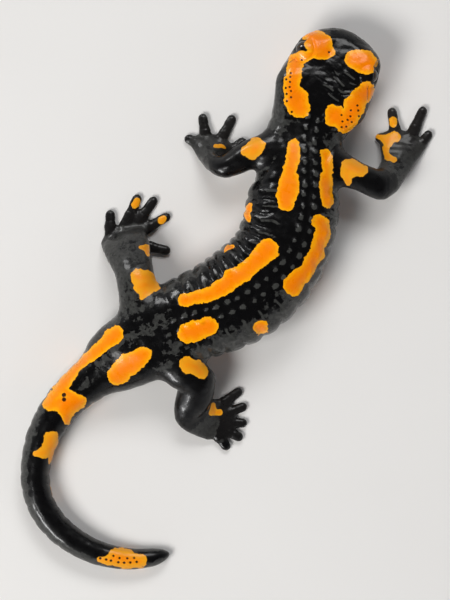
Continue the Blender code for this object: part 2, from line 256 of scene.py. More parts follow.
def body_place(s, out, height):
    """The place at s along the spine, out to the animal's left of it, at a height."""
    heading = np.interp(s, DISTANCES, HEADINGS)
    beyond = np.minimum(s, 0.0)
    x = np.interp(s, DISTANCES, SPINE[:, 0]) + beyond * np.cos(heading) + out * np.sin(heading)
    y = np.interp(s, DISTANCES, SPINE[:, 1]) + beyond * np.sin(heading) - out * np.cos(heading)
    return np.stack(np.broadcast_arrays(x, y, height), axis=-1).astype(float)


def rounding(s, snout_rounding):
    near = np.clip(np.minimum(s / snout_rounding, (LENGTH - s) / TAIL_ROUNDING), 0.0, 1.0)
    return np.sqrt(np.maximum(1.0 - (1.0 - near) ** 2, 0.0025))


def body_section(s):
    """Half width, the level it is widest at, the reach above and below it, and squareness."""
    half, back, belly, square = (np.interp(s, DISTANCES, column) for column in SHAPE)
    widest = belly + WIDEST_AT * (back - belly)
    wide, deep = rounding(s, SNOUT_ROUNDING), rounding(s, SNOUT_DEEP_ROUNDING)
    tip = np.where(s < SNOUT_ROUNDING, SNOUT_HEIGHT, TAIL_TIP_HEIGHT)
    level = tip + (widest - tip) * deep
    return half * wide, level, (back - widest) * deep, (widest - belly) * deep, square


def turn_round(out, rise, square):
    """The section's own angle at a place on it: 0 is the animal's left, 90 degrees the back."""
    return np.arctan2(signed_power(rise, square / 2), signed_power(out, square / 2))


def swelling(s, turn):
    from_top = np.abs((np.degrees(turn) - 90 + 180) % 360 - 180)
    total = np.zeros_like(s)
    for _, middle, half, above, spread, rise in SWELLINGS:
        across = (90 - from_top - above) / spread
        along = (s - middle) / half
        total += rise * np.maximum(1 - across**2, 0.0) * np.maximum(1 - along**2, 0.0)
    return total


def body_distance(p, along, out):
    """How far outside the body each point is, and its section's angle there."""
    s = np.clip(along, 0.0, LENGTH)
    half, level, above, below, square = body_section(s)
    rise = p[:, 2] - level
    reach = np.where(rise >= 0, above, below)
    turn = turn_round(out / half, rise / reach, square)
    swell = swelling(s, turn)
    share = np.abs(out / (half + swell)) ** square + np.abs(rise / (reach + swell)) ** square
    share = np.maximum(share, 1e-9) ** (1 / square)
    distance = np.hypot(out, rise) * (1 - 1 / share)
    past = np.maximum(-along, along - LENGTH)
    distance = np.where(past > 0, np.hypot(np.maximum(distance, 0), past), distance)
    return distance, turn


# ---- Legs and toes
def curve_through(places, step):
    """Points about a step apart on the smooth curve through places, as rows of numbers."""
    rows = np.array(places, float)
    ends = [2 * rows[0] - rows[1], *rows, 2 * rows[-1] - rows[-2]]
    found = []
    for a, b, c, d in zip(ends, ends[1:], ends[2:], ends[3:]):
        count = max(round(np.linalg.norm((c - b)[:3]) / step), 1)
        for k in range(count):
            t = k / count
            bend = (2 * a - 5 * b + 4 * c - d) * t * t + (3 * b - a - 3 * c + d) * t**3
            found.append((2 * b + (c - a) * t + bend) / 2)
    return np.array([*found, rows[-1]])


def leg_line(joints):
    """A leg's middle line in short steps, the distance along it, and the way it runs."""
    rows = curve_through(joints, 0.3)
    strides = np.linalg.norm(np.diff(rows[:, :3], axis=0), axis=1)
    along = np.concatenate([[0.0], np.cumsum(strides)])

    def at(distance):
        return np.stack([np.interp(distance, along, rows[:, i]) for i in range(3)], axis=1)

    return rows, along, unit(at(along + BEND_REACH) - at(along - BEND_REACH))


def leg_distance(p, line):
    """How far outside a leg each point is, how far along it, and its angle round it."""
    rows, along, ways = line
    weight = (rows[:, :3] ** 2).sum(axis=1)
    i = np.argmin(weight - 2 * p @ rows[:, :3].T, axis=1)
    ahead = dot(p - rows[i, :3], ways[i])
    place = np.clip(along[i] + ahead, 0.0, along[-1])
    centre = np.stack([np.interp(place, along, rows[:, k]) for k in range(3)], axis=1)
    wide, thick = (np.interp(place, along, rows[:, k]) for k in (3, 4))
    side = unit(np.cross(ways[i], (0.0, 0.0, 1.0)))
    up = np.cross(side, ways[i])
    gap = p - centre
    a, b = dot(gap, side), dot(gap, up)
    past = np.maximum(dot(gap, ways[i]), 0.0) / (rows[-1, 3] * PALM_ROUNDING)
    past = np.where(along[i] + ahead > along[-1], past, 0.0)
    share = np.sqrt((a / wide) ** 2 + (b / thick) ** 2 + past**2)
    share = np.maximum(share, 1e-6)
    distance = np.linalg.norm(gap, axis=1) * (1 - 1 / share)
    before = along[i] + ahead < 0
    distance = np.where(before, np.hypot(np.maximum(distance, 0), along[i] + ahead), distance)
    return distance, along[i] + ahead, np.arctan2(b / thick, a / wide)


def toe_distance(p, base, tip, lift):
    """How far outside a toe each point is, and how far along it as a share of its length."""
    base, tip = np.array(base), np.array(tip)
    way = (tip - base) / np.linalg.norm(tip - base)
    start = base - way * TOE_SUNK
    reach = TOE_TIP * 1.15
    length = np.linalg.norm(tip - way * reach - start)
    ahead = (p[:, :2] - start) @ way
    aside = (p[:, 0] - start[0]) * way[1] - (p[:, 1] - start[1]) * way[0]
    share = np.clip(ahead / length, 0.0, 1.0)
    knuckle = 0.07 * bump(share - 0.52, 0.1) - 0.05 * bump(share - 0.75, 0.09)
    wide = (TOE_BASE + (TOE_TIP - TOE_BASE) * share) * (1 + knuckle)
    thick = (1.1 - 0.2 * share) * (1 + knuckle)
    rise = p[:, 2] - (lift + 0.3 * (1 - share**3))
    past = np.maximum(ahead - length, 0.0) / reach
    before = np.maximum(-ahead, 0.0) / reach
    size = np.sqrt((aside / wide) ** 2 + (rise / thick) ** 2 + past**2 + before**2)
    gap = np.sqrt(aside**2 + rise**2 + ((past + before) * reach) ** 2)
    return gap * (1 - 1 / np.maximum(size, 1e-6)), share


LINES = {leg: leg_line(LEGS[leg]["joints"]) for leg in LEGS}


def toes_of(leg):
    """Each toe's base, tip and height off the floor."""
    for number, (base, tip) in enumerate(LEGS[leg]["toes"], start=1):
        yield base, tip, TOE_LIFT + TOE_LIFT_STEP * number


def whole_leg_distance(p, leg):
    """A leg with its toes, webbed at their roots."""
    distance, _, _ = leg_distance(p, LINES[leg])
    toes = np.full(len(p), FAR)
    for toe in toes_of(leg):
        toes = smooth_min(toes, toe_distance(p, *toe)[0], TOE_WEB)
    return smooth_min(distance, toes, TOE_ROOT)


def legs_near(p):
    """Each leg that can reach some of the points, with those points' numbers."""
    for leg in LEGS:
        rows = LINES[leg][0]
        places = np.vstack([rows[:, :2], *[np.array(toe) for toe in LEGS[leg]["toes"]]])
        inside = (p[:, :2] > places.min(axis=0) - FAR) & (p[:, :2] < places.max(axis=0) + FAR)
        near = np.flatnonzero(inside.all(axis=1))
        if len(near):
            yield leg, near


def joint_along(leg, number):
    """How far along a leg's middle line one of its joints is."""
    rows, along, _ = LINES[leg]
    joint = np.array(LEGS[leg]["joints"])[number, :3]
    return along[np.argmin(np.linalg.norm(rows[:, :3] - joint, axis=1))]


# ---- Eyes and their lids
LID_THICKNESS = 0.5
LID_SOFTNESS = 1.0
EYE_FLOOR = 0.9  # how deep under the eye's surface the skin in its opening lies
OPENING_LONG, OPENING_HIGH = 58, 44  # half angles of the opening between the lids


def eye_frame(side):
    """The eye's middle, the way it looks, and the ways along and up across its opening."""
    centre = body_place(EYE_AT, EYE_OUT * side, EYE_HEIGHT)
    heading = np.interp(EYE_AT, DISTANCES, HEADINGS)
    out = np.array([sin(heading), -cos(heading), 0.0]) * side
    ahead = -np.array([cos(heading), sin(heading), 0.0])
    look = unit(out * 0.86 + ahead * 0.34 + np.array([0.0, 0.0, 0.26]))
    along = unit(ahead - look * dot(ahead, look))
    return centre, look, along, np.cross(look, along) * (1 if np.cross(look, along)[2] > 0 else -1)


def outside_eye(p, side):
    return np.linalg.norm(p - eye_frame(side)[0], axis=1) - EYE_RADIUS


def opening(gap, look, along, up):
    """Less than nothing inside the cone that the lids leave open, about in millimetres."""
    ahead = dot(gap, look)
    a = dot(gap, along) / np.tan(radians(OPENING_LONG))
    b = dot(gap, up) / np.tan(radians(OPENING_HIGH))
    return (np.hypot(a, b) - ahead) * 0.7


def with_lids(distance, p):
    """The distance outside the skin, once lids are laid round the eyes and opened."""
    for side in (1, -1):
        centre, look, along, up = eye_frame(side)
        gap = p - centre
        far = np.linalg.norm(gap, axis=1)
        near = np.flatnonzero(far < FAR)
        gap, far = gap[near], far[near]
        lid = far - (EYE_RADIUS + LID_THICKNESS)
        skin = smooth_min(distance[near], lid, LID_SOFTNESS)
        cut = smooth_max(opening(gap, look, along, up), EYE_RADIUS - EYE_FLOOR - far, 0.2)
        distance[near] = smooth_max(skin, -cut, 0.3)
    return distance


def skin_distance(p):
    """How far outside the whole animal's skin each point is."""
    along, out = on_spine(p)
    distance, _ = body_distance(p, along, out)
    for leg, near in legs_near(p):
        part = whole_leg_distance(p[near], leg)
        distance[near] = smooth_min(distance[near], part, LEG_ROOT)
    distance = with_lids(distance, p)
    return smooth_max(distance, -p[:, 2], SOLE_EDGE)


# ---- A mesh on the zero level of a field
AWAY = 5.0  # the field's size where only its sign is worked out


def sampled_field(low, step, counts, coarse):
    """The field on a grid, worked out only near its zero level and signed elsewhere."""
    blocks = [count // coarse for count in counts]
    axes = [low[i] + step * coarse * np.arange(blocks[i] + 1) for i in range(3)]
    corners = np.stack(np.meshgrid(*axes, indexing="ij"), axis=-1)
    rough = skin_distance(corners.reshape(-1, 3)).reshape(corners.shape[:3])
    close = np.abs(rough) < step * coarse * 1.7
    used = np.zeros(blocks, bool)
    for i, j, k in np.ndindex(2, 2, 2):
        used |= close[i : i + blocks[0], j : j + blocks[1], k : k + blocks[2]]

    def block(place):
        return tuple(slice(i * coarse, (i + 1) * coarse + 1) for i in place)

    values = np.full([count + 1 for count in counts], AWAY)
    for place in np.argwhere(~used & (rough[:-1, :-1, :-1] < 0)):
        values[block(place)] = -AWAY
    needed = np.zeros(values.shape, bool)
    for place in np.argwhere(used):
        needed[block(place)] = True
    index = np.argwhere(needed)
    values[needed] = skin_distance(np.array(low) + step * index)
    return values


def beside(cells, axis, shift):
    """The cells one step aside, across an axis."""
    moved = cells.copy()
    moved[:, [k for k in range(3) if k != axis]] += shift
    return moved


def surface_net(values, low, step):
    """Points and four-sided faces on the zero level: one point in each cell that it crosses."""
    cells = np.array(values.shape) - 1
    total = np.zeros((*cells, 3))
    count = np.zeros(cells)
    inside = values < 0
    edges = []
    for axis in range(3):
        a = [slice(None)] * 3
        b = [slice(None)] * 3
        a[axis], b[axis] = slice(0, -1), slice(1, None)
        start, end = values[tuple(a)], values[tuple(b)]
        at = np.argwhere(inside[tuple(a)] != inside[tuple(b)])
        first, last = start[tuple(at.T)], end[tuple(at.T)]
        place = at.astype(float)
        place[:, axis] += first / (first - last)
        for shift in ((0, 0), (0, -1), (-1, 0), (-1, -1)):
            cell = beside(at, axis, shift)
            whole = ((cell >= 0) & (cell < cells)).all(axis=1)
            np.add.at(total, tuple(cell[whole].T), place[whole])
            np.add.at(count, tuple(cell[whole].T), 1)
        edges.append((axis, at, first < 0))
    number = np.full(cells, -1)
    crossed = np.argwhere(count > 0)
    number[tuple(crossed.T)] = np.arange(len(crossed))
    points = total[tuple(crossed.T)] / count[tuple(crossed.T)][:, None]
    faces = []
    for axis, at, outward in edges:
        ring = []
        for shift in ((0, 0), (-1, 0), (-1, -1), (0, -1)):
            ring.append(number[tuple(beside(at, axis, shift).T)])
        face = np.stack(ring, axis=1)
        flip = outward if axis == 1 else ~outward
        face[flip] = face[flip][:, ::-1]
        faces.append(face)
    return np.array(low) + step * points, np.vstack(faces)


def gradient(field, p, step=0.02):
    slopes = []
    for axis in range(3):
        shift = np.zeros(3)
        shift[axis] = step
        slopes.append((field(p + shift) - field(p - shift)) / (2 * step))
    return np.stack(slopes, axis=1)


def settle(points, rounds):
    """Moves points onto the skin's zero level."""
    for _ in range(rounds):
        distance = skin_distance(points)
        slope = gradient(skin_distance, points)
        steep = np.maximum(dot(slope, slope), 0.15)
        move = -slope * (distance / steep)[:, None]
        size = np.linalg.norm(move, axis=1)
        points = points + move * np.minimum(1.0, 0.3 / np.maximum(size, 1e-9))[:, None]
    return points


def relaxed(points, faces, share):
    """Points drawn towards the middle of their neighbours."""
    pairs = np.vstack([faces[:, [k, (k + 1) % faces.shape[1]]] for k in range(faces.shape[1])])
    pairs = np.vstack([pairs, pairs[:, ::-1]])
    count = np.bincount(pairs[:, 0], minlength=len(points))
    sums = [
        np.bincount(pairs[:, 0], weights=points[pairs[:, 1], axis], minlength=len(points))
        for axis in range(3)
    ]
    middle = np.stack(sums, axis=1) / np.maximum(count, 1)[:, None]
    return points + share * (middle - points)


# ---- The skin's relief: folds, glands, pores and creases, in millimetres outwards
# Where the middle of the back runs, as the trunk rolls a little in its bend: along, out
MIDLINE = ((20, 0.0), (27, -0.9), (34, -2.3), (41, -3.4), (50, -3.9), (60, -3.5), (71, -2.2),
           (82, -1.2), (94, 0.0), (198, 0.0))
FOLDS_FROM, FOLD_STEP = 42.9, 4.2  # costal grooves between the legs
BEADS_FROM, BEAD_STEP, BEADS_TO = 24.6, 2.9, 100.0  # glands in two rows down the back
BEAD_OUT, BEAD_RADIUS = 1.4, 0.8
TAIL_RINGS_FROM, TAIL_RING_STEP, TAIL_RINGS_TO = 117.0, 3.7, 182.0
NOSTRILS = (1.3, 3.3, 9.2)  # along, out, height
CREASE_FROM, CREASE_LONG, CREASE_OUT, CREASE_SLANT = 10.8, 3.2, 9.8, 0.5  # behind each eye
VENT = 107.0
CROWN_SLANT, CROWN_STEP = -28, 1.5  # which way the creases on the crown run, and how close
JOINT_CREASE_STEP = 1.5

# Dark pores in the markings, in rows: the first along and out, the last, how many, radius
PORE_ROWS = (
    ((16.4, 9.8), (22.0, 7.1), 6, 0.30),  # the left gland
    ((18.8, 9.9), (23.3, 7.4), 4, 0.30),
    ((12.0, 8.5), (24.9, 5.0), 2, 0.30),
    ((16.3, -9.7), (18.6, -10.9), 3, 0.30),  # the right gland
    ((18.4, -8.6), (21.3, -9.9), 3, 0.30),
    ((20.8, -7.1), (23.8, -8.3), 3, 0.30),
    ((21.0, -8.7), (22.9, -9.4), 2, 0.30),
    ((7.0, 2.9), (6.6, -9.7), 2, 0.30),  # one on each brow
    ((128.5, 1.6), (129.1, 0.5), 2, 0.55),  # the tail
    ((179.4, 1.2), (188.7, 0.9), 7, 0.34),
    ((182.7, -0.2), (188.1, -0.4), 4, 0.32),
)
PORE_SCATTER = 0.22


def pore_places():
    """Each pore's place along and out, scattered a little, and its radius."""
    draw = np.random.default_rng(9)
    for first, last, count, radius in PORE_ROWS:
        for place in np.linspace(first, last, count):
            yield (*(place + draw.uniform(-PORE_SCATTER, PORE_SCATTER, 2)), radius)


def ripple(p, wavelength, seed, waves=14):
    """Smooth irregular waves between about -1 and 1, the same on every run."""
    draw = np.random.default_rng(seed)
    ways = unit(draw.normal(size=(waves, 3)))
    pitch = 2 * pi / wavelength * draw.uniform(0.7, 1.4, waves)
    phase = draw.uniform(0, 2 * pi, waves)
    return np.sin((p @ ways.T) * pitch + phase).sum(axis=1) / np.sqrt(waves / 2) * 0.7


def body_share(distance):
    """One on the body, nothing on the legs, and between where they join."""
    return smooth_step(1.0, 0.1, np.abs(distance))


def trunk_relief(p, s, out, turn):
    """How far the trunk, neck and tail stand out, and where grey highlight is painted on their black.
    """
    half, *_ = body_section(np.clip(s, 0, LENGTH))
    middle = through(*zip(*MIDLINE), np.clip(s, 20, 198))
    aside = out - middle
    lateral = np.abs(out - middle * 0.6) / half
    up = np.sin(turn)
    wander = 0.35 * ripple(p, 6.0, 1)
    total, painted_glints = np.zeros_like(s), np.zeros_like(s)

    # Costal grooves, deepest on the flanks
    phase = (s + wander - FOLDS_FROM) / FOLD_STEP
    trunk = smooth_step(41, 45, s) * smooth_step(96, 91, s)
    flank = smooth_step(0.42, 0.8, lateral) * smooth_step(-0.95, -0.55, up)
    groove = FOLD_STEP * np.abs(phase - np.round(phase))
    total += trunk * flank * (-0.5 * bump(groove, 0.55) + 0.14 * bump(groove - FOLD_STEP / 2, 1.0))
    # Painted highlight: a grey line along each fold's crest, high on the flank
    shoulder = smooth_step(0.3, 0.45, lateral) * smooth_step(0.95, 0.75, lateral) * (up > 0)
    painted_glints += trunk * shoulder * bump(groove - FOLD_STEP / 2, 0.45) * 0.9

    # Two rows of glands beside the middle of the back, with a shallow furrow between, and grey
    # highlight painted on each gland
    place = (s - BEADS_FROM) / BEAD_STEP
    row = smooth_step(BEADS_FROM - 1, BEADS_FROM, s) * smooth_step(BEADS_TO, BEADS_TO - 6, s)
    for side in (1, -1):
        shift = 0.12 * np.sin(np.round(place) * 2.7 + side)
        ahead = (place - np.round(place) + shift * 0.5) * BEAD_STEP
        size = BEAD_RADIUS * (1 + 0.18 * np.sin(np.round(place) * 1.9 + side * 2))
        gap = np.hypot(ahead * 0.85, aside - side * (BEAD_OUT + shift))
        bead = row * (up > 0) * np.maximum(1 - (gap / size) ** 2, 0)
        total += 0.34 * bead**0.8
        painted_glints += 0.95 * np.sqrt(bead)
    total -= row * (up > 0) * 0.16 * bump(aside, 0.45)

    # A gland on every fold, high on the flank
    centre = FOLD_STEP * (phase - 0.5 - np.round(phase - 0.5))
    high = np.degrees(turn)
    for angle in (40, 140):
        gap = np.hypot(centre, (high - angle) * half * 0.016)
        total += trunk * 0.26 * np.maximum(1 - (gap / 0.85) ** 2, 0)

    # Rings round the tail
    phase = (s + wander * 0.6 - TAIL_RINGS_FROM) / TAIL_RING_STEP
    tail = smooth_step(TAIL_RINGS_FROM - 3, TAIL_RINGS_FROM + 3, s)
    tail *= smooth_step(TAIL_RINGS_TO, TAIL_RINGS_TO - 25, s) * smooth_step(-0.9, -0.3, up)
    tail *= 0.1 + 0.9 * smooth_step(0.95, 0.3, up)
    groove = TAIL_RING_STEP * np.abs(phase - np.round(phase))
    total += tail * (-0.17 * bump(groove, 0.5) + 0.04)

    # Folds across the throat and at the sides of the neck
    low = smooth_step(0.1, -0.5, up)
    total -= 0.5 * low * bump(s - 25.6 + wander * 0.6, 0.55)
    total -= 0.22 * low * bump(s - 22.4 + wander, 0.45)
    side = smooth_step(0.6, 0.9, lateral) * smooth_step(-0.5, 0.1, up)
    for at, depth in ((27.6, 0.3), (30.4, 0.22), (33.6, 0.16), (39.6, 0.16)):
        total -= depth * side * bump(s - at + wander, 0.5)

    # The vent, under the hips
    under = smooth_step(-0.5, -0.8, up)
    total += under * 0.3 * bump(np.hypot((s - VENT) / 2.6, out / 1.5), 1.0)
    total -= under * 0.45 * bump(out, 0.22) * bump(s - VENT, 1.8)
    return total, painted_glints


def above_lips(p, s):
    return p[:, 2] - through(*zip(*MOUTH), np.clip(s, -2, 17.5))


def head_relief(p, s, out, turn):
    """How far the head stands out, and where grey highlight is painted on its black."""
    up = np.sin(turn)
    head = smooth_step(27, 24, s)
    total = np.zeros_like(s)

    # The lips: a groove with the upper lip a little proud
    reach = smooth_step(17.6, 15.5, s)
    drop = above_lips(p, s)
    total += reach * (-0.5 * bump(drop, 0.24) + 0.14 * bump(drop - 0.7, 0.45))

    # Nostrils
    along, aside, height = NOSTRILS
    for side in (1, -1):
        gap = np.linalg.norm(p - body_place(along, aside * side, height), axis=1)
        near = np.maximum(gap - 0.15, 0)
        total += 0.12 * bump(gap - 0.75, 0.3) - 0.55 * bump(near, 0.32)

    # Creases across the crown, slanting back to the right, and between the glands
    slant = radians(CROWN_SLANT)
    along = p[:, 0] * cos(slant) + p[:, 1] * sin(slant)
    across = p[:, 1] * cos(slant) - p[:, 0] * sin(slant)
    crown = head * bump((s - 14.6) / 5.4, 1.0) * bump((out + 3.4) / 4.8, 1.0) * (up > 0)
    warped = across + 0.45 * np.sin(along * 0.55 + 1.0) + 0.35 * ripple(p, 5.0, 2)
    crease = np.abs(np.sin(warped * pi / CROWN_STEP))
    broken = smooth_step(-0.5, 0.35, np.sin(along * 0.9 + np.floor(warped / CROWN_STEP) * 2.3))
    total -= crown * broken * 0.24 * bump(crease, 0.35)
    # Painted highlight: grey along the crown's ridges between its creases
    painted_glints = smooth_step(0.2, 0.6, crown) * broken * bump(1 - crease, 0.2)

    # The crease behind each eye
    total -= 0.22 * bump(np.maximum(line_distance(p, s, out, turn), 0.0), 0.25) * (up > 0)
    return total, painted_glints


def pore_distance(p, s, out, turn):
    """How far each point is outside the nearest pore's rim."""
    nearest = np.full(len(p), FAR)
    for along, aside, radius in pore_places():
        nearest = np.minimum(nearest, np.hypot(s - along, out - aside) - radius)
    return np.where(np.sin(turn) > 0, nearest, FAR)


def line_distance(p, s, out, turn):
    """How far each point is outside the lines of shade painted dark in the lips' groove and the
    crease behind each eye.
    """
    lips = np.hypot(above_lips(p, s), np.maximum(s - 17.0, 0.0)) - 0.12
    aside = np.abs(out) - CREASE_OUT - CREASE_SLANT * (s - CREASE_FROM)
    past = np.abs(s - CREASE_FROM - CREASE_LONG / 2) - CREASE_LONG / 2
    crease = np.hypot(aside, np.maximum(past, 0.0)) - 0.06
    crease = np.where(np.sin(turn) > 0, crease, FAR)
    return np.where(s < 20, np.minimum(lips, crease), FAR)


def leg_relief(p):
    """Creases round the elbows, knees, wrists and ankles, and across the toes."""
    total = np.zeros(len(p))
    for leg, near in legs_near(p):
        part = p[near]
        distance, along, turn = leg_distance(part, LINES[leg])
        on_leg = smooth_step(0.9, 0.2, np.abs(distance))
        for number in range(1, len(LEGS[leg]["joints"]) - 1):
            past = along - joint_along(leg, number)
            warped = past + 0.5 * ripple(part, 5.0, 5) + 0.3 * np.sin(turn * 2)
            ring = np.abs(np.sin(warped * pi / JOINT_CREASE_STEP))
            broken = smooth_step(-0.3, 0.6, ripple(part, 3.2, 6))
            total[near] -= on_leg * broken * 0.09 * bump(ring, 0.35) * bump(past, 1.9)
        for toe in toes_of(leg):
            gap, share = toe_distance(part, *toe)
            on_toe = smooth_step(0.5, 0.1, np.abs(gap)) * smooth_step(0.1, 0.25, share)
            on_toe *= smooth_step(0.95, 0.8, share) * smooth_step(0.5, 1.1, part[:, 2])
            total[near] -= on_toe * 0.06 * bump(np.sin(share * pi * 6.5), 0.35)
    return total


# Painted highlight: how high up the sides the black is painted grey as sheen: along, then the
# limits on the left and the right, from 0 at the widest place to 1 at the middle of the back
SHEEN_LIMITS = (
    (0, 0.75, 0.7), (5, 0.6, 0.5), (12, 0.6, 0.35), (22, 0.75, 0.65), (30, 0.85, 0.7),
    (36, 0.75, 0.5), (44, 0.3, 0.5), (58, 0.35, 0.6), (70, 0.4, 0.9), (78, 0.4, 0.86),
    (90, 0.6, 0.8), (102, 0.7, 0.3), (118, 0.85, 0.1), (135, 1.0, 0.0), (150, 1.1, 0.0),
    (172, 1.15, 0.0), (188, 1.0, 0.4), (198, 0.9, 0.8),
)
# Painted highlight: a leg's black is painted grey past this joint
SHEEN_FROM_JOINT = {"left_fore": 2, "right_fore": 2, "left_hind": 1, "right_hind": 3}  # which joint

# Where grey highlight is painted in patches on the hips and the tail's root: along, out, and the
# reach of each
SHEEN_PATCHES = (
    (99, 3, 8, 3.2), (107, 3, 8, 3), (115, 2, 8, 2.8), (123, 0, 5, 2.4),
    (97, -5, 6, 3.6), (102, -8, 4.5, 3), (101, 9, 7, 4),
)


def painted_sheen_patches(s, out, turn):
    """1 in the middle of each patch of painted highlight, and nothing far from them all."""
    total = np.zeros_like(s)
    for along, aside, reach, spread in SHEEN_PATCHES:
        total = np.maximum(total, bump(np.hypot((s - along) / reach, (out - aside) / spread), 1.0))
    return total * (np.sin(turn) > 0)


def painted_sheen(p, s, turn, on_body):
    """Above 0 where grey highlight is painted on the skin, below 0 where it is left black."""
    at, left, right = (np.array(column, float) for column in zip(*SHEEN_LIMITS))
    lift = 0.5 + 0.5 * np.cos(turn)
    limit = lift * np.interp(s, at, left) + (1 - lift) * np.interp(s, at, right)
    total = on_body * (limit - np.sin(turn))
    # On the legs, grey highlight is painted past that joint, more on their lower side
    for leg, near in legs_near(p):
        distance, along, turned = leg_distance(p[near], LINES[leg])
        start = joint_along(leg, SHEEN_FROM_JOINT[leg])
        below = smooth_step(start - 3.0, start + 4.0, along) * smooth_step(2.5, 0.5, distance)
        share = smooth_step(3.0, 1.0, np.abs(distance))
        limb = share * (1.3 * below - 0.95 - 0.35 * np.sin(turned)) - 0.22 * (1 - share)
        total[near] += (1 - on_body[near]) * limb
    return total


def relief(p):
    """How far the skin stands out at each point, and what the colours need to know there."""
    s, out = on_spine(p)
    distance, turn = body_distance(p, s, out)
    on_body = body_share(distance)
    pores = pore_distance(p, s, out, turn)
    trunk, trunk_glints = trunk_relief(p, s, out, turn)
    head, head_glints = head_relief(p, s, out, turn)
    total = on_body * (trunk + head)
    total -= on_body * 0.18 * smooth_step(0.1, -0.25, pores)
    total += leg_relief(p)
    total += 0.02 * ripple(p, 1.9, 7) + 0.05 * ripple(p, 5.0, 8)
    clear = smooth_step(0.25, 1.2, p[:, 2])  # nothing under the soles is moved
    lid_folds = np.zeros(len(p))
    for side in (1, -1):
        beyond = outside_eye(p, side) - LID_THICKNESS
        clear *= smooth_step(-0.1, 0.9, beyond) * 0.85 + 0.15
        lid_folds += 0.2 * bump(beyond - 0.8, 0.25)
    # Dark pores, and shade painted into the lips' groove and the crease behind each eye
    dark = np.where(on_body > 0.5, np.minimum(pores, line_distance(p, s, out, turn)), FAR)
    return {
        "rise": total * clear - lid_folds,
        "dark": np.minimum(dark, 4.0),
        # Grey highlight painted on the black: on ridges and glands, up the sides and lower legs, and
        # in patches on the hips
        "painted_glints": on_body * (trunk_glints + head_glints),
        "painted_sheen": painted_sheen(p, s, turn, on_body),
        "fleck": painted_sheen_patches(s, out, turn),
        "under": smooth_step(0.0, -0.9, np.sin(turn)),
        "gold": np.maximum(1 - on_body, smooth_step(130, 142, s)),
    }


# ---- The markings, as strokes of a brush: a row of places, each with the stroke's half width there
# On the back: along the spine, out to the left, half width. About half of these marks and the
# legs' were fitted, as the top of the file says, and all places rounded to half a millimetre.
BACK_MARKS = {
    "left_brow": ((4.5, 8.0, 2.6), (5.5, 6.0, 3.5), (7.0, 3.5, 2.1), (8.5, 5.0, 1.5)),
    "left_gland": (
        (9.0, 6.5, 0.9), (12.5, 10.0, 2.0), (19.5, 8.0, 2.2), (22.0, 5.5, 3.2),
        (23.5, 3.5, 2.6),
    ),
    "right_brow": ((6.5, -4.0, 2.5), (6.5, -7.0, 3.2), (6.0, -8.0, 2.3)),
    "right_gland": (
        (12.5, -10.0, 2.5), (14.5, -9.0, 2.4), (17.0, -9.0, 2.9), (23.0, -9.0, 1.9),
        (21.5, -5.5, 3.0),
    ),
    "left_shoulder_stripe": (
        (32.5, 2.0, 1.7), (39.5, 2.0, 1.9), (42.5, 2.0, 2.6), (45.0, 2.0, 2.9),
        (47.5, 2.0, 2.4),
    ),
    "right_shoulder_stripe": (
        (33.5, -6.5, 1.7), (37.5, -7.5, 1.4), (41.5, -7.5, 2.0), (46.0, -8.5, 1.5),
    ),
    "right_stripe": (
        (51.0, -7.5, 2.1), (52.0, -8.5, 2.1), (56.5, -9.0, 1.9), (61.0, -8.5, 2.2),
        (65.5, -7.5, 2.6),
    ),
    "left_stripe": (
        (61.5, 3.0, 2.8), (72.0, 4.0, 2.1), (74.5, 4.5, 2.8), (81.5, 3.5, 1.9),
        (87.0, 4.5, 1.8), (89.5, 5.0, 1.9),
    ),
    "left_flank": ((49.5, 11.0, 0.6), (52.0, 11.5, 0.8), (54.0, 11.0, 0.9)),
    "left_flank_low": ((71.5, 11.5, 0.4), (69.0, 11.5, 0.7), (67.5, 11.0, 0.3)),
    "hip_blotch": ((92.5, -3.0, 2.5), (90.5, -3.5, 2.7), (86.5, -3.5, 2.6)),
    "right_flank": ((76.0, -10.0, 1.9), (76.0, -10.5, 1.8)),
    "left_tail_stripe": (
        (109.0, 5.5, 2.3), (114.0, 5.0, 1.7), (121.5, 4.5, 1.2), (126.5, 3.5, 1.8),
        (132.5, 3.0, 1.6),
    ),
    "tail_blotch": ((127.5, 2.5, 0.7), (127.0, -2.5, 2.1), (130.0, -1.0, 3.0), (133.5, -3.5, 0.9)),
    "tail_blotch_left": ((132.0, 2.5, 1.7), (130.5, 1.0, 1.9)),
    "right_tail_stripe": ((105.5, -2.5, 2.2), (110.5, -3.0, 3.0), (114.5, -3.5, 2.6)),
    "tail_patch": ((140.0, -2.0, 2.0), (142.5, -3.0, 1.9)),
    "tail_patch_left": ((145.0, 0.5, 0.8), (144.0, -2.0, 1.7)),
    "tail_patch_low": ((143.5, -3.5, 1.2), (147.0, -3.5, 0.3)),
    "tail_end_band": (
        (179.5, 1.5, 0.7), (181.5, 1.0, 1.3), (183.5, 0.0, 2.4), (186.5, 0.0, 2.5),
        (189.5, 0.5, 1.8),
    ),
}

